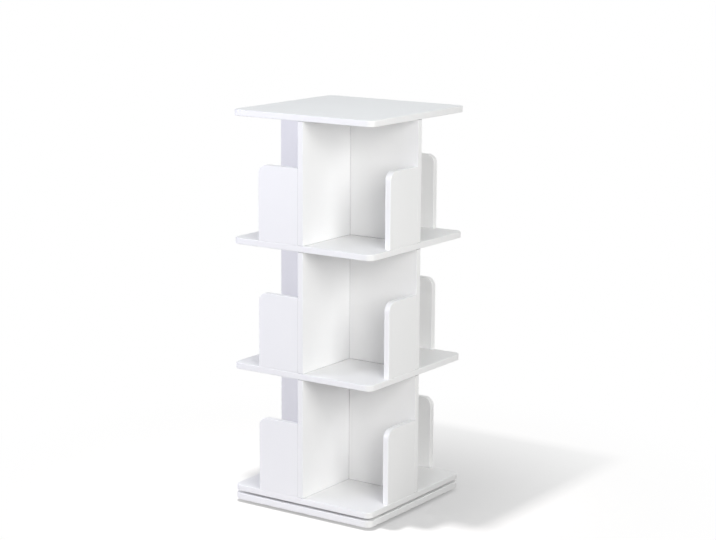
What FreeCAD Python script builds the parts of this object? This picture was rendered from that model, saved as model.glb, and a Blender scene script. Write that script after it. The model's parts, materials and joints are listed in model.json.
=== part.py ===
import FreeCAD
import Part
import math
import os

Vector = FreeCAD.Vector

# Rotating media tower in millimetres. The floor is z = 0 and the tower turns about the Z axis.
# Front is -Y, right is +X. Boards are screwed from below, drawn to the plate above by cams, and dowelled.

# Boards
plate_side = 400.0
board = 15.0
base_board = 16.0
plate_corner_radius = 17.0
plate_edge_round = 1.5
tier_height = 292.0
divider_edge_round = 0.8
guard_length = 115.0
guard_height = 182.0
guard_corner_radius = 22.0
guard_edge_round = 1.2

# Dowels in the board joints
dowel_diameter = 8.0
dowel_depth = 20.0
dowel_seat_share = 0.6
dowel_inset = 60.0
dowel_fit = 0.1
dowel_end_gap = 1.0

# Joint screws, driven up through a shelf into the feet of its dividers and guards
joint_screw_head_diameter = 10.0
joint_screw_head_height = 2.5
joint_screw_neck_diameter = 7.0
joint_screw_diameter = 5.0
joint_screw_grip = 34.0
joint_screw_inset = 30.0
joint_screw_fit = 0.15
joint_screw_end_gap = 1.0

# Cams near the top of each divider, which draw it to the bolts in the plate above
cam_diameter = 15.0
cam_length_share = 0.83
cam_drop = 24.0
cam_inset = 100.0
cam_fit = 0.15
cam_end_gap = 0.4
cam_bolt_diameter = 6.0
cam_bolt_neck_diameter = 4.0
cam_bolt_head_diameter = 6.6
cam_bolt_head_height = 3.0
cam_bolt_bite_share = 0.7
cam_bolt_room = 0.7

# Caps that cover the cams
cap_diameter = 17.5
cap_thickness = 1.2
cap_bevel = 0.6
cap_stem_diameter = 5.0
cap_stem_length = 1.8
cap_fit = 0.1

# Pads under the base plate
foot_height = 7.0
foot_diameter = 32.0
foot_tread_diameter = 29.0
foot_inset = 45.0

# Swivel bearing: two sheet steel squares, with caged balls between them and a hollow rivet in the centre
swivel_corner_radius = 14.0
swivel_sheet = 1.5
ball_diameter = 4.0
ball_count = 12
ball_circle_diameter = 196.0
ball_sink_share = 0.125
ball_clearance = 0.05
race_half_angle = 65.0
cage_width = 14.0
cage_sheet = 1.2
cage_clearance = 0.15
rivet_diameter = 24.0
rivet_wall = 1.5
rivet_flange_width = 6.0
rivet_flange = 1.2
rivet_clearance = 0.08
recess_clearance = 0.6

# Countersunk bolts from under the base plate into the lower swivel plate
bolt_diameter = 5.0
bolt_head_diameter = 9.2
bolt_inset = 10.0
bolt_cage_gap = 7.5
bolt_fit = 0.15
bolt_tip = 0.8

# Pan head wood screws through the upper swivel plate into the bottom shelf
screw_diameter = 3.5
screw_head_diameter = 7.0
screw_head_height = 1.6
screw_inset = 14.0
screw_bite_share = 0.7
screw_fit = 0.15
screw_end_gap = 1.0

# Cuts run past the faces that they leave by this much, and edges are compared to this tolerance
overrun = 1.0
tolerance = 0.001

tiers = ("lower", "middle", "upper")
shelves = ("bottom_shelf", "lower_shelf", "upper_shelf", "top_panel")
faces = ("front", "right", "back", "left")
quarter_turn = 360 / len(faces)
centre = Vector(0, 0, 0)
along_x = Vector(1, 0, 0)
along_y = Vector(0, 1, 0)
up = Vector(0, 0, 1)

# Levels and reaches that several pieces share
half_plate = plate_side / 2
half_board = board / 2
dowel_seat = board * dowel_seat_share
cam_length = board * cam_length_share
cam_bolt_bite = board * cam_bolt_bite_share
cam_reach = half_plate - cam_inset
base_bottom = foot_height
base_top = base_bottom + base_board
ball_spacing = ball_diameter * (1 - 2 * ball_sink_share)
lower_sheet_top = base_top + swivel_sheet
upper_sheet_bottom = lower_sheet_top + ball_spacing
deck = upper_sheet_bottom + swivel_sheet
ball_level = (lower_sheet_top + upper_sheet_bottom) / 2
bolt_reach = (ball_circle_diameter + cage_width + bolt_diameter) / 2 + bolt_cage_gap
swivel_side = 2 * (bolt_reach + bolt_inset)
screw_reach = swivel_side / 2 - screw_inset
foot_reach = half_plate - foot_inset
rivet_bottom = base_top - rivet_flange
rivet_top = deck + rivet_clearance + rivet_flange


def shelf_bottom(level):
    return deck + level * (board + tier_height)


def tier_floor(level):
    return shelf_bottom(level) + board


def turned_about_axis(shape, index):
    return shape.rotated(centre, up, quarter_turn * index)


def on_four_sides(spot):
    turns = [FreeCAD.Rotation(up, quarter_turn * index) for index in range(len(faces))]
    return [turn.multVec(spot) for turn in turns]


def copies(shape, places):
    return [shape.translated(place) for place in places]


def upright_edges(shape):
    return [edge for edge in shape.Edges if edge.BoundBox.ZLength > tolerance]


def level_edges(shape):
    return [edge for edge in shape.Edges if edge.BoundBox.ZLength < tolerance]


def revolved(profile):
    points = [Vector(radius, 0, height) for radius, height in profile]
    outline = Part.makePolygon(points + points[:1])
    return Part.Face(outline).revolve(centre, up, 360)


def rounded_square(side, thickness, radius, bottom):
    blank = Part.makeBox(side, side, thickness, Vector(-side / 2, -side / 2, bottom))
    return blank.makeFillet(radius, upright_edges(blank))


def reaches(cutter, shape):
    shared = shape.BoundBox.intersected(cutter.BoundBox)
    return min(shared.XLength, shared.YLength, shared.ZLength) > tolerance


def drilled(shape, cutters):
    # Each board takes only the holes that reach into it
    return shape.cut([cutter for cutter in cutters if reaches(cutter, shape)])


# Boards


def plate(bottom, thickness):
    blank = rounded_square(plate_side, thickness, plate_corner_radius, bottom)
    return blank.makeFillet(plate_edge_round, level_edges(blank))


def long_divider(floor):
    # Runs from the front edge to the back edge
    blank = Part.makeBox(board, plate_side, tier_height, Vector(-half_board, -half_plate, floor))
    return blank.makeFillet(divider_edge_round, blank.Edges)


def half_divider(floor):
    # Butts against the long divider and ends at the right edge
    blank = Part.makeBox(half_plate - half_board, board, tier_height, Vector(half_board, -half_board, floor))
    return blank.makeFillet(divider_edge_round, blank.Edges)


def guard(floor):
    # Low board on the front edge, left of the long divider, with a round upper corner at its free end
    inner_end = -half_board
    free_end = inner_end - guard_length
    top = floor + guard_height
    blank = Part.makeBox(guard_length, board, guard_height, Vector(free_end, -half_plate, floor))
    corner = [
        edge
        for edge in blank.Edges
        if edge.BoundBox.XMax < free_end + tolerance and edge.BoundBox.ZMin > top - tolerance
    ]
    blank = blank.makeFillet(guard_corner_radius, corner)
    # All edges but the two smooth lines that bound the round corner, so that each joint shows as a fine line
    sharp_edges = [
        edge
        for edge in blank.Edges
        if edge.BoundBox.YLength < tolerance
        or edge.BoundBox.ZMax < floor + tolerance
        or edge.BoundBox.XMin > inner_end - tolerance
    ]
    return blank.makeFillet(guard_edge_round, sharp_edges)


# Dowels, each a run of (start, axis, length)


def dowel(start, axis, length):
    return Part.makeCylinder(dowel_diameter / 2, length, start, axis)


def dowel_hole(start, axis, length):
    radius = dowel_diameter / 2 + dowel_fit
    return Part.makeCylinder(radius, length + 2 * dowel_end_gap, start - axis * dowel_end_gap, axis)


def shelf_dowel_runs(level):
    # Upright dowels in line with the dividers. They pass through a shelf that has a tier on both sides.
    bottom = shelf_bottom(level)
    top = bottom + board
    low_end = bottom - dowel_depth if level > 0 else top - dowel_seat
    high_end = top + dowel_depth if level < len(tiers) else bottom + dowel_seat
    places = on_four_sides(Vector(half_plate - dowel_inset, 0, low_end))
    return [(place, up, high_end - low_end) for place in places]


def cross_dowel_run(floor):
    # Joins the two half dividers through the long one
    start = Vector(-half_board - dowel_depth, 0, floor + tier_height / 2)
    return (start, along_x, board + 2 * dowel_depth)


def guard_dowel_runs(floor):
    # One in the inner end of each guard, seated in the face of its divider
    starts = on_four_sides(Vector(dowel_seat - half_board, half_board - half_plate, floor + guard_height / 2))
    axes = on_four_sides(-along_x)
    return [(start, axis, dowel_seat + dowel_depth) for start, axis in zip(starts, axes)]


# Joint screws, with their heads flush in the underside of a shelf at z = 0


def joint_screw():
    head = joint_screw_head_diameter / 2
    neck = joint_screw_neck_diameter / 2
    shank = joint_screw_diameter / 2
    tip = board + joint_screw_grip
    return revolved(
        [
            (0, 0),
            (head, 0),
            (head, joint_screw_head_height),
            (neck, joint_screw_head_height + head - neck),
            (neck, board),
            (shank, board),
            (shank, tip - shank),
            (0, tip),
        ]
    )


def joint_screw_hole():
    head = joint_screw_head_diameter / 2 + joint_screw_fit
    neck = joint_screw_neck_diameter / 2 + joint_screw_fit
    shank = joint_screw_diameter / 2 + joint_screw_fit
    tip = board + joint_screw_grip + joint_screw_end_gap
    return revolved(
        [
            (0, 0),
            (head, 0),
            (head, joint_screw_head_height + joint_screw_fit),
            (neck, joint_screw_head_height + joint_screw_fit + head - neck),
            (neck, board),
            (shank, board),
            (shank, tip),
            (0, tip),
        ]
    )


def joint_screw_places(level):
    divider_spot = Vector(half_plate - joint_screw_inset, 0, shelf_bottom(level))
    guard_spot = Vector(-half_board - guard_length / 2, half_board - half_plate, shelf_bottom(level))
    return on_four_sides(divider_spot) + on_four_sides(guard_spot)


# Cam fittings. The plate above is at z = 0 for the bolts, and the cam's axis is at z = 0 for cams and caps,
# which sit in the back face of the right half divider.


def cam_bolt():
    shank = cam_bolt_diameter / 2
    neck = cam_bolt_neck_diameter / 2
    head = cam_bolt_head_diameter / 2
    neck_top = cam_diameter / 2 - cam_drop
    head_top = cam_bolt_head_height / 2 - cam_drop
    head_bottom = -cam_bolt_head_height / 2 - cam_drop
    return revolved(
        [
            (0, cam_bolt_bite),
            (shank, cam_bolt_bite),
            (shank, neck_top),
            (neck, neck_top),
            (neck, head_top),
            (head, head_top),
            (head, head_bottom),
            (0, head_bottom),
        ]
    )


def cam_bolt_hole():
    seat = cam_bolt_diameter / 2 + cam_fit
    room = cam_bolt_head_diameter / 2 + cam_bolt_room
    top = cam_bolt_bite + cam_end_gap
    bottom = -cam_drop - cam_bolt_head_height / 2 - cam_bolt_room
    return revolved([(0, top), (seat, top), (seat, 0), (room, 0), (room, bottom), (0, bottom)])


def cam():
    body = Part.makeCylinder(cam_diameter / 2, cam_length, Vector(0, half_board - cam_length, 0), along_y)
    bolt_way = cam_bolt_hole().translated(Vector(0, 0, cam_drop))
    socket_depth = cap_stem_length + cap_fit
    socket_radius = cap_stem_diameter / 2 + cap_fit
    socket = Part.makeCylinder(socket_radius, socket_depth, Vector(0, half_board - socket_depth, 0), along_y)
    return body.cut([bolt_way, socket])


def cam_pocket():
    depth = cam_length + cam_end_gap
    radius = cam_diameter / 2 + cam_fit
    return Part.makeCylinder(radius, depth + overrun, Vector(0, half_board - depth, 0), along_y)


def cam_cap():
    rim = cap_diameter / 2
    stem = cap_stem_diameter / 2
    upright = revolved(
        [
            (0, -cap_stem_length),
            (stem, -cap_stem_length),
            (stem, 0),
            (rim, 0),
            (rim, cap_thickness - cap_bevel),
            (rim - cap_bevel, cap_thickness),
            (0, cap_thickness),
        ]
    )
    return upright.rotated(centre, along_x, -quarter_turn).translated(Vector(0, half_board, 0))


def at_cams(shape, level):
    # Both cams of a long divider sit in its left face, and the two half dividers are the same board
    height = tier_floor(level) + tier_height - cam_drop
    spots = [(0, cam_reach, 0), (1, 0, cam_reach), (1, 0, -cam_reach), (2, -cam_reach, 0)]
    return [turned_about_axis(shape, index).translated(Vector(x, y, height)) for index, x, y in spots]


# Base and swivel bearing


def foot():
    return Part.makeCone(foot_tread_diameter / 2, foot_diameter / 2, foot_height)


def bolt():
    head = bolt_head_diameter / 2
    shank = bolt_diameter / 2
    tip = lower_sheet_top + bolt_tip
    return revolved(
        [
            (0, base_bottom),
            (head, base_bottom),
            (shank, base_bottom + head - shank),
            (shank, tip),
            (0, tip),
        ]
    )


def bolt_hole():
    head = bolt_head_diameter / 2 + bolt_fit
    shank = bolt_diameter / 2 + bolt_fit
    top = lower_sheet_top + overrun
    return revolved(
        [
            (0, base_bottom),
            (head, base_bottom),
            (shank, base_bottom + head - shank),
            (shank, top),
            (0, top),
        ]
    )


def screw():
    head = screw_head_diameter / 2
    shank = screw_diameter / 2
    head_bottom = upper_sheet_bottom - screw_head_height
    tip = deck + board * screw_bite_share
    return revolved(
        [
            (0, head_bottom),
            (head, head_bottom),
            (head, upper_sheet_bottom),
            (shank, upper_sheet_bottom),
            (shank, tip - shank),
            (0, tip),
        ]
    )


def screw_hole():
    bottom = upper_sheet_bottom - overrun
    top = deck + board * screw_bite_share + screw_end_gap
    return Part.makeCylinder(screw_diameter / 2 + screw_fit, top - bottom, Vector(0, 0, bottom))


def race_groove(face, into):
    # A V ring for the balls, cut into a swivel plate's face upwards (into = 1) or downwards (into = -1)
    half_angle = math.radians(race_half_angle)
    depth = (ball_diameter / 2 + ball_clearance) / math.sin(half_angle) - ball_spacing / 2
    half_width = (depth + overrun) * math.tan(half_angle)
    ball_circle_radius = ball_circle_diameter / 2
    return revolved(
        [
            (ball_circle_radius - half_width, face - into * overrun),
            (ball_circle_radius + half_width, face - into * overrun),
            (ball_circle_radius, face + into * depth),
        ]
    )


def rivet():
    outer = rivet_diameter / 2
    bore = outer - rivet_wall
    rim = outer + rivet_flange_width
    return revolved(
        [
            (bore, rivet_bottom),
            (rim, rivet_bottom),
            (rim, base_top),
            (outer, base_top),
            (outer, rivet_top - rivet_flange),
            (rim, rivet_top - rivet_flange),
            (rim, rivet_top),
            (bore, rivet_top),
        ]
    )


def rivet_room():
    # Rivet hole in both swivel plates, with a recess for the flanges in the boards below and above
    hole = rivet_diameter / 2 + rivet_clearance
    recess = rivet_diameter / 2 + rivet_flange_width + recess_clearance
    return revolved(
        [
            (0, rivet_bottom - recess_clearance),
            (recess, rivet_bottom - recess_clearance),
            (recess, base_top),
            (hole, base_top),
            (hole, deck),
            (recess, deck),
            (recess, rivet_top + recess_clearance),
            (0, rivet_top + recess_clearance),
        ]
    )


def swivel_plate(bottom, cutters):
    blank = rounded_square(swivel_side, swivel_sheet, swivel_corner_radius, bottom)
    return blank.cut(cutters)


def ball_places():
    spot = Vector(ball_circle_diameter / 2, 0, ball_level)
    turns = [FreeCAD.Rotation(up, 360 / ball_count * index) for index in range(ball_count)]
    return [turn.multVec(spot) for turn in turns]


def ball_cage():
    outer = (ball_circle_diameter + cage_width) / 2
    inner = (ball_circle_diameter - cage_width) / 2
    bottom = -cage_sheet / 2
    ring = Part.makeCylinder(outer, cage_sheet, Vector(0, 0, ball_level + bottom))
    cut_height = cage_sheet + 2 * overrun
    bore = Part.makeCylinder(inner, cut_height, Vector(0, 0, ball_level + bottom - overrun))
    pocket_radius = ball_diameter / 2 + cage_clearance
    pocket = Part.makeCylinder(pocket_radius, cut_height, Vector(0, 0, bottom - overrun))
    return ring.cut([bore] + copies(pocket, ball_places()))


# Assembly

parts = {}
bolt_places = on_four_sides(Vector(bolt_reach, 0, 0))
screw_places = on_four_sides(Vector(screw_reach, screw_reach, 0))
foot_places = on_four_sides(Vector(foot_reach, foot_reach, 0))
bolt_holes = copies(bolt_hole(), bolt_places)
screw_holes = copies(screw_hole(), screw_places)

# Base, which stands still
parts["base_plate"] = drilled(plate(base_bottom, base_board), bolt_holes + [rivet_room()])
parts["foot_pads"] = Part.makeCompound(copies(foot(), foot_places))

# Swivel bearing
lower_cuts = bolt_holes + [rivet_room(), race_groove(lower_sheet_top, -1)]
upper_cuts = screw_holes + [rivet_room(), race_groove(upper_sheet_bottom, 1)]
parts["lower_swivel_plate"] = swivel_plate(base_top, lower_cuts)
parts["upper_swivel_plate"] = swivel_plate(upper_sheet_bottom, upper_cuts)
parts["swivel_rivet"] = rivet()
parts["ball_cage"] = ball_cage()
parts["swivel_balls"] = Part.makeCompound(copies(Part.makeSphere(ball_diameter / 2), ball_places()))
parts["lower_swivel_bolts"] = Part.makeCompound(copies(bolt(), bolt_places))
parts["upper_swivel_screws"] = Part.makeCompound(copies(screw(), screw_places))

# Dowels
dowel_runs = {}
for level, shelf in enumerate(shelves):
    dowel_runs[shelf + "_dowels"] = shelf_dowel_runs(level)
for level, tier in enumerate(tiers):
    dowel_runs[tier + "_cross_dowel"] = [cross_dowel_run(tier_floor(level))]
    dowel_runs[tier + "_guard_dowels"] = guard_dowel_runs(tier_floor(level))
board_holes = []
for name, runs in dowel_runs.items():
    parts[name] = Part.makeCompound([dowel(*run) for run in runs])
    board_holes += [dowel_hole(*run) for run in runs]

# Screws under each tier and cams at its top
for level, tier in enumerate(tiers):
    places = joint_screw_places(level)
    parts[shelves[level] + "_screws"] = Part.makeCompound(copies(joint_screw(), places))
    board_holes += copies(joint_screw_hole(), places)
    bolt_spots = on_four_sides(Vector(cam_reach, 0, shelf_bottom(level + 1)))
    parts[tier + "_cam_bolts"] = Part.makeCompound(copies(cam_bolt(), bolt_spots))
    parts[tier + "_cams"] = Part.makeCompound(at_cams(cam(), level))
    parts[tier + "_cam_caps"] = Part.makeCompound(at_cams(cam_cap(), level))
    board_holes += copies(cam_bolt_hole(), bolt_spots) + at_cams(cam_pocket(), level)

# Plates that turn
for level, shelf in enumerate(shelves):
    parts[shelf] = drilled(plate(shelf_bottom(level), board), board_holes + screw_holes + [rivet_room()])

# Dividers and guards of each tier
for level, tier in enumerate(tiers):
    floor = tier_floor(level)
    parts[tier + "_divider_long"] = drilled(long_divider(floor), board_holes)
    parts[tier + "_divider_right"] = drilled(half_divider(floor), board_holes)
    parts[tier + "_divider_left"] = drilled(turned_about_axis(half_divider(floor), 2), board_holes)
    for index, face in enumerate(faces):
        parts[tier + "_guard_" + face] = drilled(turned_about_axis(guard(floor), index), board_holes)

os.makedirs("parts", exist_ok=True)
for name, shape in parts.items():
    shape.exportStep("parts/" + name + ".step")
print(len(parts), "pieces, height", shelf_bottom(len(tiers)) + board)
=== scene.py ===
import bpy
import json
import math
from mathutils import Matrix, Vector


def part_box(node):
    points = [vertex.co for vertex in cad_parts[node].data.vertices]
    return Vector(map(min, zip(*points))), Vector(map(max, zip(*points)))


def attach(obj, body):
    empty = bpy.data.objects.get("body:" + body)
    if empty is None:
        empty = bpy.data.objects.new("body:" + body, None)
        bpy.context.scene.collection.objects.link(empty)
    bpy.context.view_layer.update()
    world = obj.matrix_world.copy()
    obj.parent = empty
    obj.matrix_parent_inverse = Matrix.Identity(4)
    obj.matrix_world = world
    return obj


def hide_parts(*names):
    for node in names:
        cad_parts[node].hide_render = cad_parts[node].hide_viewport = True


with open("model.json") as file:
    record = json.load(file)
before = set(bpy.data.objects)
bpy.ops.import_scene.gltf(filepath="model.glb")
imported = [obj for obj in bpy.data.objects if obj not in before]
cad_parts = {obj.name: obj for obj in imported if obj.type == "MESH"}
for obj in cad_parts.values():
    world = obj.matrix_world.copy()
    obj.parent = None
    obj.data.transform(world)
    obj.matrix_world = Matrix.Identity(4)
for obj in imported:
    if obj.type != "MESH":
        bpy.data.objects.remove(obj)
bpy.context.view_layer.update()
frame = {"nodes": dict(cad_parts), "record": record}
nodes = frame["nodes"]

# The tower in metres, as the solids have it. Front is -Y and right is +X.
tower = {
    "half": 0.2,
    "board": 0.015,
    "guardLength": 0.115,
    "guardHeight": 0.182,
    "tiers": ("lower", "middle", "upper"),
    "shelves": ("bottom_shelf", "lower_shelf", "upper_shelf", "top_panel"),
}
half, board = tower["half"], tower["board"]
tiers, shelves = tower["tiers"], tower["shelves"]
underside = [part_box(shelf)[0].z for shelf in shelves]  # underside of each turning plate
tierFloor = [level + board for level in underside]
tierPitch = tierFloor[1] - tierFloor[0]
tierHeight = underside[1] - tierFloor[0]
quarter = math.pi / 2


class Wire:
    # one socket of a node tree, so that shader maths reads as plain sums
    def __init__(self, tree, socket):
        self.tree = tree
        self.socket = socket

    def __add__(self, other):
        return self.tree.sum("ADD", self, other)

    def __sub__(self, other):
        return self.tree.sum("SUBTRACT", self, other)

    def __rsub__(self, other):
        return self.tree.sum("SUBTRACT", other, self)

    def __mul__(self, other):
        return self.tree.sum("MULTIPLY", self, other)

    def __abs__(self):
        return self.tree.sum("ABSOLUTE", self)

    __radd__ = __add__
    __rmul__ = __mul__


class Tree:
    # a node tree that is filled node by node
    def __init__(self, nodeTree):
        self.nodeTree = nodeTree
        nodeTree.nodes.clear()

    def node(self, kind, settings, sockets, out=0):
        made = self.nodeTree.nodes.new("ShaderNode" + kind)
        for key, value in settings.items():
            if key == "stops":
                for stop, (place, level) in zip(made.color_ramp.elements, value):
                    stop.position, stop.color = place, grey(level)
            else:
                setattr(made, key, value)
        for key, value in sockets.items():
            if isinstance(value, Wire):
                self.nodeTree.links.new(value.socket, made.inputs[key])
            else:
                made.inputs[key].default_value = value
        return Wire(self, made.outputs[out]) if made.outputs else None

    def sum(self, operation, first, second=0.0):
        return self.node("Math", {"operation": operation}, {0: first, 1: second})

    def vector(self, operation, first, second=(0, 0, 0), out="Vector"):
        return self.node("VectorMath", {"operation": operation}, {0: first, 1: second}, out)

    def place(self, stretch=(1, 1, 1)):
        spot = self.node("TexCoord", {}, {}, "Object")
        return self.node("Mapping", {}, {"Vector": spot, "Scale": stretch})

    def noise(self, spot, scale, detail=2.0, roughness=0.5):
        grain = {"Scale": scale, "Detail": detail, "Roughness": roughness}
        return self.node("TexNoise", {}, {"Vector": spot, **grain})

    def ramp(self, wire, low, high):
        return self.node("ValToRGB", {"stops": ((low, 0), (high, 1))}, {"Fac": wire})

    def spread(self, wire, start, end, startShare=0.0, endShare=1.0, easing="LINEAR"):
        limits = {"From Min": start, "From Max": end, "To Min": startShare, "To Max": endShare}
        return self.node("MapRange", {"interpolation_type": easing}, {"Value": wire, **limits})

    def blend(self, share, first, second):
        # colours, each a link or three numbers
        first, second = (tone if isinstance(tone, Wire) else (*tone, 1) for tone in (first, second))
        return self.node("Mix", {"data_type": "RGBA"}, {0: share, 6: first, 7: second}, 2)

    def shade(self, share, first, second):
        return self.node("MixShader", {}, {0: share, 1: first, 2: second})

    def bump(self, height, strength, distance):
        return self.node("Bump", {}, {"Strength": strength, "Distance": distance, "Height": height})


def grey(level):
    return level, level, level, 1


def newFinish(name):
    material = bpy.data.materials.new(name)
    material.use_nodes = True
    return material, Tree(material.node_tree)


def closeFinish(tree, sockets):
    shader = tree.node("BsdfPrincipled", {}, sockets)
    tree.node("OutputMaterial", {}, {"Surface": shader})


# Satin white lacquer on the boards: faint drift in tone, hazy gloss, a fine orange peel, and painted shade
# darkening the lines where boards meet
lacquer = {
    "pale": (0.905, 0.905, 0.905),
    "deep": (0.88, 0.88, 0.882),
    "drift": {"scale": 4.0, "detail": 3.0},
    "driftEnds": (0.3, 0.7),
    "gloss": 0.36,
    "haze": {"scale": 24.0, "detail": 4.0, "roughness": 0.6},
    "hazeDepth": 0.1,
    "peel": {"scale": 430.0, "detail": 1.5},
    "peelStrength": 0.35,
    "peelDepth": 0.00006,
    # painted shade in the grooves where boards meet: its tone, its width, the share that is fully dark, and
    # its strength on the guards
    "jointShadeTone": (0.3, 0.3, 0.31),
    "jointShadeWidth": 0.0011,
    "jointShadeCore": 0.25,  # share of the width that has the full painted shade
    "guardSeam": 0.3,
}


def jointDistance(tree, spot, joints):
    # how far a point is from the nearest face that its board meets another one with
    x, y, z = (tree.node("SeparateXYZ", {}, {0: spot}, axis) for axis in "XYZ")
    inTier = tree.sum("FLOORED_MODULO", z - (tierFloor[0] - board / 2), tierPitch)
    rise = inTier - board / 2  # height above the tier's floor
    ways = {
        "foot": abs(rise),
        "top": abs(rise - tierHeight),
        "x": abs(abs(x) - board / 2),
        "y": abs(abs(y) - board / 2),
    }
    nearest, *others = (ways[joint] for joint in joints)
    for other in others:
        nearest = tree.sum("MINIMUM", nearest, other)
    return nearest


def paintLacquer(name, joints, depth=1.0):
    material, tree = newFinish(name)
    spot = tree.place()
    drift = tree.ramp(tree.noise(spot, **lacquer["drift"]), *lacquer["driftEnds"])
    haze = tree.noise(spot, **lacquer["haze"])
    peel = tree.noise(spot, **lacquer["peel"])
    tone = tree.blend(drift, lacquer["deep"], lacquer["pale"])
    # painted shade: darkens the tone along the lines where this board meets another, by the given depth
    if joints:
        width = lacquer["jointShadeWidth"]
        jointShade = tree.spread(jointDistance(tree, spot, joints), width * lacquer["jointShadeCore"], width, depth, 0.0)
        tone = tree.blend(jointShade, tone, lacquer["jointShadeTone"])
    closeFinish(tree, {
        "Base Color": tone,
        "Roughness": lacquer["gloss"] + (haze - 0.5) * lacquer["hazeDepth"],
        "Normal": tree.bump(peel, lacquer["peelStrength"], lacquer["peelDepth"]),
    })
    return material


# Raw beech of the dowels, with its grain along one axis
beech = {
    "light": (0.78, 0.6, 0.41),
    "dark": (0.58, 0.4, 0.25),
    "grain": {"scale": 900.0, "detail": 3.0, "roughness": 0.6},
    "grainEnds": (0.3, 0.72),
    "alongGrain": 0.06,
    "grainStrength": 0.5,
    "grainDepth": 0.00008,
    "fleckTone": (0.46, 0.3, 0.18),
    "fleck": {"scale": 1600.0, "detail": 1.0},
    "fleckEnds": (0.6, 0.68),
    "fleckShare": 0.6,
    "gloss": 0.62,
    "grainGloss": 0.2,
}


def paintBeech(axis):
    material, tree = newFinish("beechAlong" + axis)
    spot = tree.place([beech["alongGrain"] if way == axis else 1.0 for way in "XYZ"])
    grain = tree.noise(spot, **beech["grain"])
    fleck = tree.ramp(tree.noise(spot, **beech["fleck"]), *beech["fleckEnds"])
    wood = tree.blend(tree.ramp(grain, *beech["grainEnds"]), beech["dark"], beech["light"])
    closeFinish(tree, {
        "Base Color": tree.blend(fleck * beech["fleckShare"], wood, beech["fleckTone"]),
        "Roughness": beech["gloss"] + grain * beech["grainGloss"],
        "Normal": tree.bump(grain, beech["grainStrength"], beech["grainDepth"]),
    })
    return material


# Metals: base tones, gloss, the scale of the marks that each carries, and how deep these go in all of them
metals = {
    "zincSteel": {"pale": (0.68, 0.69, 0.71), "deep": (0.54, 0.55, 0.58), "gloss": 0.34,
                  "spangle": 70.0, "grit": 900.0},
    "fastenerSteel": {"pale": (0.72, 0.72, 0.7), "deep": (0.58, 0.58, 0.57), "gloss": 0.3,
                      "spangle": 260.0, "grit": 2200.0},
    "camZinc": {"pale": (0.6, 0.6, 0.61), "deep": (0.47, 0.47, 0.48), "gloss": 0.46,
                "spangle": 160.0, "grit": 1500.0},
    "ballSteel": {"pale": (0.8, 0.8, 0.81), "deep": (0.74, 0.74, 0.75), "gloss": 0.09,
                  "spangle": 300.0, "grit": 2600.0},
}
metalMarks = {
    "evenGloss": 0.85,
    "spangleGloss": 0.15,
    "gritGloss": 0.3,
    "gritStrength": 0.12,
    "gritDepth": 0.00004,
}


def paintMetal(name):
    facts, marks = metals[name], metalMarks
    material, tree = newFinish(name)
    spot = tree.place()
    cells = tree.node("TexVoronoi", {}, {"Vector": spot, "Scale": facts["spangle"]}, "Color")
    spangle = tree.node("SeparateColor", {}, {"Color": cells}, "Red")
    grit = tree.noise(spot, facts["grit"])
    worn = marks["evenGloss"] + spangle * marks["spangleGloss"] + grit * marks["gritGloss"]
    closeFinish(tree, {
        "Base Color": tree.blend(spangle, facts["deep"], facts["pale"]),
        "Metallic": 1.0,
        "Roughness": facts["gloss"] * worn,
        "Normal": tree.bump(grit, marks["gritStrength"], marks["gritDepth"]),
    })
    return material


# Moulded pieces: bearing cage, cam caps and rubber pads, and the marks that all of them have
mouldings = {
    "cagePlastic": {"pale": (0.82, 0.81, 0.76), "deep": (0.74, 0.73, 0.68), "gloss": 0.46,
                    "grain": 1400.0, "depth": 0.00004},
    "capPlastic": {"pale": (0.895, 0.895, 0.895), "deep": (0.865, 0.865, 0.87), "gloss": 0.44,
                   "grain": 2200.0, "depth": 0.00003},
    "footRubber": {"pale": (0.075, 0.075, 0.078), "deep": (0.035, 0.035, 0.036), "gloss": 0.78,
                   "grain": 1800.0, "depth": 0.0001},
}
mouldMarks = {
    "flow": {"scale": 60.0, "detail": 3.0},
    "flowEnds": (0.25, 0.75),
    "grainRoughness": 0.6,
    "grainGloss": 0.16,
    "grainStrength": 0.4,
}


def paintMoulding(name):
    facts, marks = mouldings[name], mouldMarks
    material, tree = newFinish(name)
    spot = tree.place()
    flow = tree.ramp(tree.noise(spot, **marks["flow"]), *marks["flowEnds"])
    grain = tree.noise(spot, facts["grain"], roughness=marks["grainRoughness"])
    closeFinish(tree, {
        "Base Color": tree.blend(flow, facts["deep"], facts["pale"]),
        "Roughness": facts["gloss"] + (grain - 0.5) * marks["grainGloss"],
        "Normal": tree.bump(grain, marks["grainStrength"], facts["depth"]),
    })
    return material


finishes = {
    "white_lacquer": paintLacquer("whiteLacquer", ()),
    "beech": paintBeech("Z"),
    "zinc_steel": paintMetal("zincSteel"),
    "fastener_steel": paintMetal("fastenerSteel"),
    "cam_zinc": paintMetal("camZinc"),
    "ball_steel": paintMetal("ballSteel"),
    "cage_plastic": paintMoulding("cagePlastic"),
    "cap_plastic": paintMoulding("capPlastic"),
    "foot_rubber": paintMoulding("footRubber"),
}
levelBeech = paintBeech("X")
uprights = {
    "guard": paintLacquer("guardLacquer", ("x", "y"), lacquer["guardSeam"]),
    "divider_long": paintLacquer("longDividerLacquer", ("foot", "top")),
    "divider": paintLacquer("halfDividerLacquer", ("foot", "top", "x")),
}


def finishOf(part):
    # dividers and guards have the lacquer with painted shade along their own joint lines
    if part["material_slot"] == "white_lacquer":
        for kind, coat in uprights.items():
            if kind in part["node"]:
                return coat
    return finishes[part["material_slot"]]


for part in frame["record"]["subparts"]:
    for held in nodes[part["node"]].material_slots:
        held.material = finishOf(part)
print("finishes:", len(finishes))


def only(piece):
    bpy.ops.object.select_all(action="DESELECT")
    piece.select_set(True)
    bpy.context.view_layer.objects.active = piece


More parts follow.
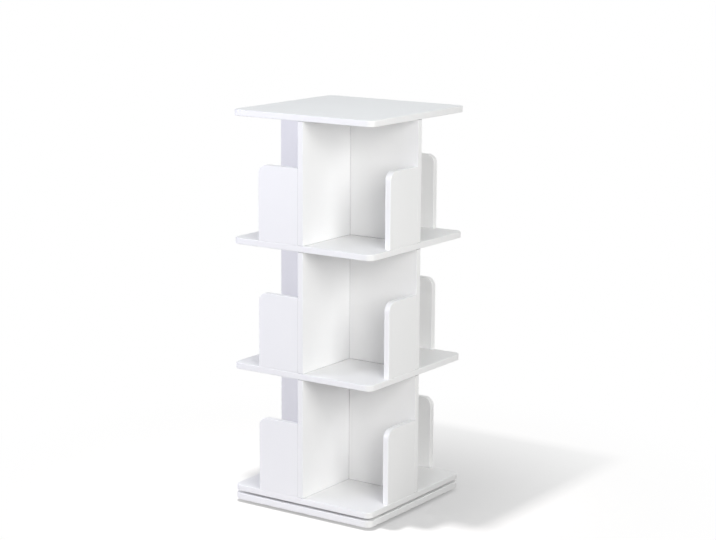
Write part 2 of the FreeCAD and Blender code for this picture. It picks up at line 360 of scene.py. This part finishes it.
def pick(piece, kind, wanted):
    # in edit mode, selects the corners or faces that are wanted
    bpy.ops.mesh.select_mode(type=kind)
    bpy.ops.mesh.select_all(action="DESELECT")
    bpy.ops.object.mode_set(mode="OBJECT")
    for item in piece.data.vertices if kind == "VERT" else piece.data.polygons:
        item.select = wanted(item)
    bpy.ops.object.mode_set(mode="EDIT")


def closeUp():
    # merges the corners that meet and turns the faces outwards
    bpy.ops.mesh.select_all(action="SELECT")
    bpy.ops.mesh.remove_doubles(threshold=1e-6)
    bpy.ops.mesh.normals_make_consistent(inside=False)
    bpy.ops.object.mode_set(mode="OBJECT")


def turned(sides, rings, pinch=1.0):
    # a disc drawn up through rings of (radius, height), with every second corner of it pinched in
    bpy.ops.object.select_all(action="DESELECT")
    (radius, height), *later = rings
    bpy.ops.mesh.primitive_circle_add(vertices=sides, radius=radius, fill_type="NGON", enter_editmode=True)
    piece = bpy.context.object
    if pinch != 1.0:
        step = 2 * math.pi / sides
        pick(piece, "VERT", lambda corner: round(math.atan2(corner.co.y, corner.co.x) / step) % 2 == 1)
        bpy.ops.transform.resize(value=(pinch, pinch, 1), center_override=(0, 0, 0))
    bpy.ops.mesh.select_mode(type="FACE")
    bpy.ops.mesh.select_all(action="SELECT")
    bpy.ops.transform.translate(value=(0, 0, height))
    for nextRadius, nextHeight in later:
        rise = {"value": (0, 0, nextHeight - height)}
        bpy.ops.mesh.extrude_region_move(TRANSFORM_OT_translate=rise)
        share = nextRadius / radius
        bpy.ops.transform.resize(value=(share, share, 1), center_override=(0, 0, nextHeight))
        radius, height = nextRadius, nextHeight
    closeUp()
    return piece


def combine(piece, tool, operation):
    only(piece)
    bpy.ops.object.modifier_add(type="BOOLEAN")
    modifier = piece.modifiers[-1]
    modifier.operation = operation
    modifier.solver = "EXACT"
    modifier.use_self = True
    modifier.object = tool
    bpy.ops.object.modifier_apply(modifier=modifier.name)
    bpy.data.objects.remove(tool)


def threadUp(piece, thread):
    # a triangle swept up a helix and merged with the shank
    root, crest = thread["core"] / 2 - thread["sink"], thread["crest"] / 2
    low, high, lead = thread["low"], thread["high"], thread["pitch"]
    bpy.ops.object.select_all(action="DESELECT")
    bpy.ops.mesh.primitive_circle_add(vertices=3, radius=1.0, fill_type="NOTHING", enter_editmode=True)
    bpy.ops.transform.rotate(value=quarter, orient_axis="Z", center_override=(0, 0, 0))
    bpy.ops.transform.rotate(value=quarter, orient_axis="X", center_override=(0, 0, 0))
    ridge = bpy.context.object
    bpy.ops.object.mode_set(mode="OBJECT")
    side = 1 if max(corner.co.x for corner in ridge.data.vertices) > 0.9 else -1  # where its point is
    bpy.ops.object.mode_set(mode="EDIT")
    width = thread["share"] * lead / (2 * math.cos(math.pi / 6))
    depth = crest - root  # the plain triangle is 1.5 deep, a third of it behind the middle
    bpy.ops.transform.resize(value=(side * depth / 1.5, 1, width), center_override=(0, 0, 0))
    bpy.ops.transform.translate(value=(root + depth / 3, 0, low + width))
    bpy.ops.object.mode_set(mode="OBJECT")
    bpy.ops.object.modifier_add(type="SCREW")
    sweep = ridge.modifiers[-1]
    sweep.axis = "Z"
    sweep.angle = 2 * math.pi
    sweep.screw_offset = lead
    sweep.iterations = max(1, int((high - low) / lead))
    sweep.steps = sweep.render_steps = thread["steps"]
    bpy.ops.object.modifier_apply(modifier=sweep.name)
    bpy.ops.object.mode_set(mode="EDIT")
    bpy.ops.mesh.select_all(action="SELECT")
    bpy.ops.mesh.fill_holes(sides=3)
    closeUp()
    combine(piece, ridge, "UNION")


# Drives in the heads, as shares of their width
socketDrive = {"drillEnd": 0.15, "drillDepth": 0.4}
crossDrive = {"blade": 0.24, "endLength": 0.45, "endBlade": 0.6}


def socketIn(piece, across, mouth, bottom):
    # six-sided drive with a drilled end
    radius = across / math.sqrt(3)
    end = (radius * socketDrive["drillEnd"], bottom + radius * socketDrive["drillDepth"])
    combine(piece, turned(6, [(radius, mouth), (radius, bottom), end]), "DIFFERENCE")


def crossIn(piece, across, mouth, bottom):
    # cross drive of two tapered blades
    bpy.ops.object.select_all(action="DESELECT")
    bpy.ops.mesh.primitive_cube_add(size=1.0, enter_editmode=True)
    tool = bpy.context.object
    blade = (across, across * crossDrive["blade"], bottom - mouth)
    taper = (crossDrive["endLength"], crossDrive["endBlade"], 1)
    bpy.ops.transform.resize(value=blade, center_override=(0, 0, 0))
    bpy.ops.transform.translate(value=(0, 0, (bottom + mouth) / 2))
    pick(tool, "FACE", lambda face: face.normal.z > 0.9)
    bpy.ops.transform.resize(value=taper, center_override=(0, 0, bottom))
    bpy.ops.mesh.select_all(action="SELECT")
    bpy.ops.mesh.duplicate()
    bpy.ops.transform.rotate(value=quarter, orient_axis="Z", center_override=(0, 0, 0))
    bpy.ops.object.mode_set(mode="OBJECT")
    combine(piece, tool, "DIFFERENCE")


def smooth(piece, degrees=35):
    only(piece)
    bpy.ops.object.shade_smooth_by_angle(angle=math.radians(degrees))


def at(x, y, z):
    return Matrix.Translation((x, y, z))


def aroundAxis(place):
    return [Matrix.Rotation(quarter * index, 4, "Z") @ place for index in range(4)]


def setOut(model, name, places, finish):
    # one copy at each place, joined to a piece that sits at the origin
    copies = []
    for place in places:
        only(model)
        bpy.ops.object.duplicate()
        copy = bpy.context.object
        copy.matrix_world = place
        bpy.ops.object.transform_apply(location=True, rotation=True, scale=True)
        copies.append(copy)
    for copy in copies:
        copy.select_set(True)
    if len(copies) > 1:
        bpy.ops.object.join()
    piece = bpy.context.object
    piece.name = piece.data.name = name
    piece.data.materials.clear()
    piece.data.materials.append(finish)
    return piece


def hang(piece, body, node):
    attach(piece, body)
    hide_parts(node)


def plain(node):
    # bottom_shelf_screws becomes bottomShelfScrews
    first, *rest = node.split("_")
    return first + "".join(word.capitalize() for word in rest)


def fit(model, body, slot, sets, finish=None):
    # the model's copies for each node, after which the model itself goes
    for node, places in sets.items():
        hang(setOut(model, plain(node), places, finish or finishes[slot]), body, node)
    bpy.data.objects.remove(model)


# Joint screws, up through a shelf into the dividers and guards that stand on it
jointScrew = {
    "sides": 32,
    "head": 0.010,
    "headHeight": 0.0025,
    "headEdge": 0.0004,
    "neck": 0.007,
    "shoulder": 0.0006,
    "grip": 0.034,
    "point": 0.0024,
    "pointShare": 0.25,
    "inset": 0.03,
    "socket": 0.004,
    "socketMouth": -0.001,
    "socketDepth": 0.0026,
    "thread": {"core": 0.0037, "crest": 0.005, "pitch": 0.0028, "low": 0.0162, "high": 0.0455,
               "share": 0.62, "sink": 0.00015, "steps": 18},
}


def turnJointScrew():
    head, neck, core = jointScrew["head"] / 2, jointScrew["neck"] / 2, jointScrew["thread"]["core"] / 2
    rim, edge = jointScrew["headHeight"], jointScrew["headEdge"]
    tip = board + jointScrew["grip"]
    screw = turned(jointScrew["sides"], [
        (head - edge, 0.0), (head, edge), (head, rim),
        (neck, rim + head - neck), (neck, board - jointScrew["shoulder"]),
        (core, board), (core, tip - jointScrew["point"]), (core * jointScrew["pointShare"], tip),
    ])
    threadUp(screw, jointScrew["thread"])
    socketIn(screw, jointScrew["socket"], jointScrew["socketMouth"], jointScrew["socketDepth"])
    smooth(screw)
    return screw


def jointPlaces(level):
    underDivider = at(half - jointScrew["inset"], 0, level)
    underGuard = at(-board / 2 - tower["guardLength"] / 2, board / 2 - half, level)
    return aroundAxis(underDivider) + aroundAxis(underGuard)


screwSets = {shelf + "_screws": jointPlaces(level) for shelf, level in zip(shelves[:3], underside)}
fit(turnJointScrew(), "tower", "fastener_steel", screwSets)
print("joint screws set")


# Cam bolts, down from the plate above into the tops of the dividers
camBolt = {
    "sides": 32,
    "shank": 0.006,
    "neck": 0.004,
    "head": 0.0066,
    "headHeight": 0.003,
    "headRound": ((0.0007, 0.0), (0.0002, 0.0002), (0.0, 0.0007)),  # in from the rim, up from the end
    "headBack": ((0.0, 0.0007), (0.0006, 0.0001)),  # in from the rim, down from the neck
    "shankRound": ((0.0003, 0.0001), (0.0, 0.0005)),  # in from the shank, up from the neck
    "shoulder": 0.0003,
    "drop": 0.024,
    "camRadius": 0.0075,
    "bite": 0.0105,
    "point": 0.0006,
    "pointShare": 0.7,
    "inset": 0.1,
    "cross": 0.0036,
    "crossMouth": 0.0005,
    "crossDepth": 0.0016,
    "thread": {"core": 0.0044, "crest": 0.006, "pitch": 0.0022, "low": 0.0008, "high": 0.0096,
               "share": 0.6, "sink": 0.00015, "steps": 18},
}


def turnCamBolt():
    shank, neck, head = camBolt["shank"] / 2, camBolt["neck"] / 2, camBolt["head"] / 2
    core, bite = camBolt["thread"]["core"] / 2, camBolt["bite"]
    low = -camBolt["drop"] - camBolt["headHeight"] / 2
    high = low + camBolt["headHeight"]
    neckTop = camBolt["camRadius"] - camBolt["drop"]
    rings = [(head - inward, low + rise) for inward, rise in camBolt["headRound"]]
    rings += [(head - inward, high - fall) for inward, fall in camBolt["headBack"]]
    rings += [(neck, high), (neck, neckTop)]
    rings += [(shank - inward, neckTop + rise) for inward, rise in camBolt["shankRound"]]
    rings += [(shank, -camBolt["shoulder"]), (core, 0.0)]
    rings += [(core, bite - camBolt["point"]), (core * camBolt["pointShare"], bite)]
    bolt = turned(camBolt["sides"], rings)
    threadUp(bolt, camBolt["thread"])
    crossIn(bolt, camBolt["cross"], low - camBolt["crossMouth"], low + camBolt["crossDepth"])
    smooth(bolt)
    return bolt


camReach = half - camBolt["inset"]
fit(turnCamBolt(), "tower", "fastener_steel", {
    tier + "_cam_bolts": aroundAxis(at(camReach, 0, level)) for tier, level in zip(tiers, underside[1:])
})
print("cam bolts set")


# Caps over the cams, with a moulded ring and a notch to lift them by
camCap = {
    "sides": 48,
    "radius": 0.00875,
    "thickness": 0.0012,
    "edge": 0.0001,
    "rimRound": ((0.0, 0.0006), (0.0002, 0.0003), (0.0006, 0.0001)),  # in from the rim, down from the top
    "stem": 0.0025,
    "stemLength": 0.0018,
    "stemEdge": 0.0003,
    "ring": 0.0068,
    "ringGroove": ((0.0004, 0.0001), (0.0002, 0.0003), (-0.0002, 0.0003), (-0.0004, 0.0001)),  # aside, down
    "crownShare": 0.5,
    "centre": 0.0003,
    "notch": 0.0024,
    "notchSides": 16,
    "notchLow": -0.0002,
    "notchShare": 0.55,  # of the thickness
    "notchOut": 0.1,
    "smooth": 30,
    "spots": ((0, 1, 0), (1, 0, 1), (1, 0, -1), (2, -1, 0)),  # quarter turns, then which way from the centre
}


def mouldCap():
    rim, top, edge = camCap["radius"], camCap["thickness"], camCap["edge"]
    ring, stem, stemEdge, reach = camCap["ring"], camCap["stem"], camCap["stemEdge"], -camCap["stemLength"]
    rings = [(stem - stemEdge, reach), (stem, reach + stemEdge), (stem, 0.0), (rim - edge, 0.0), (rim, edge)]
    rings += [(rim - inward, top - fall) for inward, fall in camCap["rimRound"]]
    rings += [(ring + aside, top - fall) for aside, fall in camCap["ringGroove"]]
    rings += [(ring * camCap["crownShare"], top), (camCap["centre"], top)]
    cap = turned(camCap["sides"], rings)
    bore = camCap["notch"] / 2
    tool = turned(camCap["notchSides"], [(bore, camCap["notchLow"]), (bore, top * camCap["notchShare"])])
    bpy.ops.object.mode_set(mode="EDIT")
    bpy.ops.mesh.select_all(action="SELECT")
    bpy.ops.transform.translate(value=(0, rim + camCap["notch"] * camCap["notchOut"], 0))
    bpy.ops.object.mode_set(mode="OBJECT")
    combine(cap, tool, "DIFFERENCE")
    smooth(cap, camCap["smooth"])
    return cap


def capPlaces(level):
    onFace = at(0, board / 2, 0) @ Matrix.Rotation(-quarter, 4, "X")
    height = level - camBolt["drop"]
    return [at(x * camReach, y * camReach, height) @ Matrix.Rotation(quarter * turns, 4, "Z") @ onFace
            for turns, x, y in camCap["spots"]]


capSets = {tier + "_cam_caps": capPlaces(level) for tier, level in zip(tiers, underside[1:])}
fit(mouldCap(), "tower", "cap_plastic", capSets)
print("cam caps set")


# Fluted dowels in the board joints
dowel = {
    "radius": 0.004,
    "flutes": 20,
    "pinch": 0.93,
    "chamfer": 0.0011,
    "chamferSlope": 0.8,
    "smooth": 20,
    "depth": 0.02,
    "seat": 0.009,
    "inset": 0.06,
}


def cutDowel(length):
    radius, chamfer = dowel["radius"], dowel["chamfer"]
    end = radius - chamfer * dowel["chamferSlope"]
    rings = [(end, 0.0), (radius, chamfer), (radius, length - chamfer), (end, length)]
    peg = turned(2 * dowel["flutes"], rings, dowel["pinch"])
    smooth(peg, dowel["smooth"])
    return peg


def fitDowels(node, length, places, finish):
    fit(cutDowel(length), "tower", "beech", {node: places}, finish)


for level, shelf in enumerate(shelves):
    low = underside[level] - dowel["depth"] if level else tierFloor[level] - dowel["seat"]
    high = tierFloor[level] + dowel["depth"] if level < len(tiers) else underside[level] + dowel["seat"]
    places = aroundAxis(at(half - dowel["inset"], 0, low))
    fitDowels(shelf + "_dowels", high - low, places, finishes["beech"])
for level, tier in enumerate(tiers):
    middle = (tierFloor[level] + underside[level + 1]) / 2
    across = at(-board / 2 - dowel["depth"], 0, middle) @ Matrix.Rotation(quarter, 4, "Y")
    fitDowels(tier + "_cross_dowel", board + 2 * dowel["depth"], [across], levelBeech)
    height = tierFloor[level] + tower["guardHeight"] / 2
    inward = at(dowel["seat"] - board / 2, board / 2 - half, height) @ Matrix.Rotation(-quarter, 4, "Y")
    fitDowels(tier + "_guard_dowels", dowel["seat"] + dowel["depth"], aroundAxis(inward), levelBeech)
print("dowels set")


# Rubber pads under the base plate, with ring grooves in the tread
footPad = {
    "sides": 48,
    "height": 0.007,
    "radius": 0.016,
    "rimEdge": 0.0004,
    "waist": (0.0003, 0.62),  # in from the rim, share of the height
    "tread": 0.0145,
    "treadRound": ((-0.0001, 0.0008), (0.0003, 0.0002), (0.0008, 0.0)),  # in from the tread, up
    "grooves": ((0.0122, 0.0104), (0.0083, 0.0065)),
    "grooveSlope": 0.0003,
    "grooveDepth": 0.0009,
    "dimple": 0.0042,
    "dimpleSlope": 0.0004,
    "dimpleDepth": 0.0018,
    "centre": 0.0004,
    "smooth": 32,
    "inset": 0.045,
}


def mouldPad():
    top, rim, edge = footPad["height"], footPad["radius"], footPad["rimEdge"]
    waistIn, waistShare = footPad["waist"]
    slope, depth = footPad["grooveSlope"], footPad["grooveDepth"]
    dimple, dimpleDepth = footPad["dimple"], footPad["dimpleDepth"]
    rings = [(rim - edge, top), (rim, top - edge), (rim - waistIn, top * waistShare)]
    rings += [(footPad["tread"] - inward, rise) for inward, rise in footPad["treadRound"]]
    for outer, inner in footPad["grooves"]:
        rings += [(outer, 0.0), (outer - slope, depth), (inner + slope, depth), (inner, 0.0)]
    rings += [(dimple, 0.0), (dimple - footPad["dimpleSlope"], dimpleDepth), (footPad["centre"], dimpleDepth)]
    pad = turned(footPad["sides"], rings)
    smooth(pad, footPad["smooth"])
    return pad


padReach = half - footPad["inset"]
fit(mouldPad(), "base", "foot_rubber", {"foot_pads": aroundAxis(at(padReach, padReach, 0))})
print("pads set")


# Countersunk bolts through the base plate into the lower swivel plate
swivelBolt = {
    "sides": 32,
    "head": 0.0092,
    "headEdge": 0.0002,
    "shank": 0.005,
    "shankStart": 0.0001,
    "shankTop": 0.0126,
    "coreStart": 0.013,
    "low": 0.007,
    "tip": 0.0253,
    "tipEdge": 0.0004,
    "reach": 0.115,
    "socket": 0.003,
    "socketMouth": 0.001,
    "socketDepth": 0.0017,
    "thread": {"core": 0.0042, "crest": 0.005, "pitch": 0.001, "low": 0.0132, "high": 0.0245,
               "share": 0.8, "sink": 0.0001, "steps": 16},
}


def turnSwivelBolt():
    head, shank, core = swivelBolt["head"] / 2, swivelBolt["shank"] / 2, swivelBolt["thread"]["core"] / 2
    low, tip = swivelBolt["low"], swivelBolt["tip"]
    edge, tipEdge = swivelBolt["headEdge"], swivelBolt["tipEdge"]
    bolt = turned(swivelBolt["sides"], [
        (head - edge, low), (head, low + edge), (shank, low + head - shank + swivelBolt["shankStart"]),
        (shank, swivelBolt["shankTop"]), (core, swivelBolt["coreStart"]),
        (core, tip - tipEdge), (core - tipEdge, tip),
    ])
    threadUp(bolt, swivelBolt["thread"])
    mouth, bottom = low - swivelBolt["socketMouth"], low + swivelBolt["socketDepth"]
    socketIn(bolt, swivelBolt["socket"], mouth, bottom)
    smooth(bolt)
    return bolt


boltPlaces = aroundAxis(at(swivelBolt["reach"], 0, 0))
fit(turnSwivelBolt(), "base", "fastener_steel", {"lower_swivel_bolts": boltPlaces})


# Pan head screws through the upper swivel plate into the bottom shelf
swivelScrew = {
    "sides": 32,
    "head": 0.007,
    "headHeight": 0.0016,
    "pan": ((0.0014, 0.0), (0.0006, 0.0002), (0.0002, 0.0005), (0.0, 0.001)),  # in from the rim, up
    "reach": 0.111,
    "cross": 0.0036,
    "crossMouth": 0.0004,
    "crossDepth": 0.0012,
    "tip": 0.0395,
    "point": 0.0026,
    "pointShare": 0.2,
    "thread": {"core": 0.0024, "crest": 0.0035, "pitch": 0.0016, "low": 0.0298, "high": 0.0372,
               "share": 0.6, "sink": 0.0001, "steps": 16},
}


def turnSwivelScrew():
    head, core = swivelScrew["head"] / 2, swivelScrew["thread"]["core"] / 2
    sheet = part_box("upper_swivel_plate")[0].z
    low, tip = sheet - swivelScrew["headHeight"], swivelScrew["tip"]
    rings = [(head - inward, low + rise) for inward, rise in swivelScrew["pan"]]
    rings += [(head, sheet), (core, sheet)]
    rings += [(core, tip - swivelScrew["point"]), (core * swivelScrew["pointShare"], tip)]
    screw = turned(swivelScrew["sides"], rings)
    threadUp(screw, swivelScrew["thread"])
    crossIn(screw, swivelScrew["cross"], low - swivelScrew["crossMouth"], low + swivelScrew["crossDepth"])
    smooth(screw)
    return screw


screwPlaces = aroundAxis(at(swivelScrew["reach"], swivelScrew["reach"], 0))
fit(turnSwivelScrew(), "tower", "fastener_steel", {"upper_swivel_screws": screwPlaces})
print("swivel fasteners set")


# Camera where the photograph was taken from
view = {
    "azimuth": 34.4681,
    "elevation": 11.2416,
    "roll": 0.3418,
    "distance": 4.6165,
    "aim": 0.5693,
    "aside": 0.02173,
    "lens": 95.714,
    "sensor": 36,
}


def outward(azimuth, elevation):
    # from the tower towards the camera or a lamp
    turn, lift = math.radians(azimuth), math.radians(elevation)
    return Vector((math.sin(turn) * math.cos(lift), -math.cos(turn) * math.cos(lift), math.sin(lift)))


def setCamera():
    turn, roll = math.radians(view["azimuth"]), math.radians(view["roll"])
    back = outward(view["azimuth"], view["elevation"])
    right = Vector((math.cos(turn), math.sin(turn), 0))
    up = back.cross(right)
    spot = Vector((0, 0, view["aim"])) + right * view["aside"] + back * view["distance"]
    tilted = Matrix((
        right * math.cos(roll) + up * math.sin(roll),
        up * math.cos(roll) - right * math.sin(roll),
        back,
    ))
    bpy.ops.object.camera_add(location=spot, rotation=tilted.transposed().to_euler())
    camera = bpy.context.object
    camera.data.lens = view["lens"]
    camera.data.sensor_width = view["sensor"]
    bpy.context.scene.camera = camera


setCamera()
print("camera set")


# Floor that is white far out and keeps the tower's shadow
floorFacts = {
    "size": 60.0,
    "cells": 4,
    "albedo": 0.4,
    "shadeShare": 0.7,
    "lift": 0.26,
    "white": 1.0,
    "fadeFrom": -0.18,
    "fadeTo": 1.06,
    "dark": 0.185,
    "darkCorner": 0.024,
    "darkAside": 0.012,
    "darkFade": (0.016, 0.03),
    "underGlow": 0.5,
}


def seenRay(tree):
    # 1 for the rays that the camera, a reflection or glass sends
    rays = ("Is Camera Ray", "Is Glossy Ray", "Is Transmission Ray")
    camera, glossy, glass = (tree.node("LightPath", {}, {}, ray) for ray in rays)
    return tree.sum("MAXIMUM", camera, tree.sum("MAXIMUM", glossy, glass))


def layFloor():
    bpy.ops.object.select_all(action="DESELECT")
    cells = floorFacts["cells"]
    bpy.ops.mesh.primitive_grid_add(x_subdivisions=cells, y_subdivisions=cells, size=floorFacts["size"])
    floor = bpy.context.object
    floor.name = "floor"
    material, tree = newFinish("paleFloor")
    spot = tree.node("TexCoord", {}, {}, "Object")
    far = tree.vector("LENGTH", spot, out="Value")
    away = tree.spread(far, floorFacts["fadeFrom"], floorFacts["fadeTo"], easing="SMOOTHSTEP")
    # light reaches in under the base from the front and left, and the rest of the floor there is dark
    aside, inner = floorFacts["darkAside"], floorFacts["dark"] - floorFacts["darkCorner"]
    folded = tree.vector("ABSOLUTE", tree.vector("SUBTRACT", spot, (aside, aside, 0)))
    corner = tree.vector("MAXIMUM", tree.vector("SUBTRACT", folded, (inner, inner, 0)))
    reach = tree.vector("LENGTH", corner, out="Value")
    outside = tree.spread(reach, *floorFacts["darkFade"], floorFacts["underGlow"])
    bare = tree.node("BsdfDiffuse", {}, {"Color": grey(floorFacts["albedo"])})
    shaded = tree.node("BsdfDiffuse", {}, {"Color": grey(floorFacts["shadeShare"])})
    glow = tree.node("Emission", {}, {"Strength": floorFacts["lift"]})
    white = tree.node("Emission", {}, {"Strength": floorFacts["white"]})
    lifted = tree.node("AddShader", {}, {0: shaded, 1: glow})
    near = tree.shade(outside, shaded, lifted)  # less glow under the base
    above = tree.shade(seenRay(tree), bare, tree.shade(away, near, white))
    below = tree.node("NewGeometry", {}, {}, "Backfacing")  # from underneath the floor isn't in the way
    clear = tree.node("BsdfTransparent", {}, {})
    tree.node("OutputMaterial", {}, {"Surface": tree.shade(below, above, clear)})
    floor.data.materials.append(material)
    return floor


# Soft boxes on the tower, one that gives the floor its shadow, and the fill that comes from all round
lamps = {
    "cameraBox": {"azimuth": 34.0, "elevation": 5.0, "distance": 3.5, "size": 2.5, "power": 16.5,
                  "tint": (1.0, 1.0, 1.0), "floor": "EXCLUDE"},
    "rightBox": {"azimuth": 60.0, "elevation": 22.5, "distance": 3.0, "size": 1.8, "power": 61.0,
                 "tint": (1.0, 1.0, 0.985), "floor": "EXCLUDE"},
    "leftBox": {"azimuth": -50.0, "elevation": 16.0, "distance": 3.0, "size": 1.8, "power": 58.0,
                "tint": (0.845, 0.845, 1.0), "floor": "EXCLUDE"},
    "topBox": {"azimuth": 20.0, "elevation": 80.0, "distance": 3.0, "size": 2.0, "power": 18.4,
               "tint": (0.86, 0.97, 1.0), "floor": "EXCLUDE"},
    "shadowBox": {"azimuth": -9.0, "elevation": 76.3, "distance": 1.7, "size": 0.08, "power": 46.0,
                  "tint": (1.0, 0.97, 0.955), "floor": "INCLUDE"},
}
lampAim = 0.5  # height that all of them point at
fill = {
    "allRound": 0.18,
    "behind": 0.38,
    "backward": (-0.5657, 0.8246, 0.0),
    "backwardFull": 0.8,
}


def hangLamps(floor):
    for name, lamp in lamps.items():
        back = outward(lamp["azimuth"], lamp["elevation"])
        bpy.ops.object.light_add(type="AREA", location=Vector((0, 0, lampAim)) + back * lamp["distance"],
                                 rotation=back.to_track_quat("Z", "Y").to_euler())
        light = bpy.context.object
        light.name = name
        light.data.size = lamp["size"]
        light.data.energy = lamp["power"]
        light.data.color = lamp["tint"]
        lit = bpy.data.collections.new(name + "Lit")  # the lamp lights the floor alone, or all else
        lit.objects.link(floor)
        lit.collection_objects[0].light_linking.link_state = lamp["floor"]
        light.light_linking.receiver_collection = lit


def lightWorld():
    world = bpy.context.scene.world or bpy.data.worlds.new("studio")
    bpy.context.scene.world = world
    world.use_nodes = True
    tree = Tree(world.node_tree)
    seen = seenRay(tree)
    ray = tree.node("TexCoord", {}, {}, "Generated")
    toward = tree.vector("DOT_PRODUCT", ray, fill["backward"], "Value")
    behind = tree.spread(toward, 0.0, fill["backwardFull"], easing="SMOOTHSTEP")
    lit = behind * fill["behind"] + fill["allRound"]
    sky = tree.node("Background", {}, {"Color": grey(1), "Strength": lit + seen * (1.0 - lit)})
    tree.node("OutputWorld", {}, {"Surface": sky})


hangLamps(layFloor())
lightWorld()
bpy.context.scene.view_settings.view_transform = "Standard"
print("stage lit")
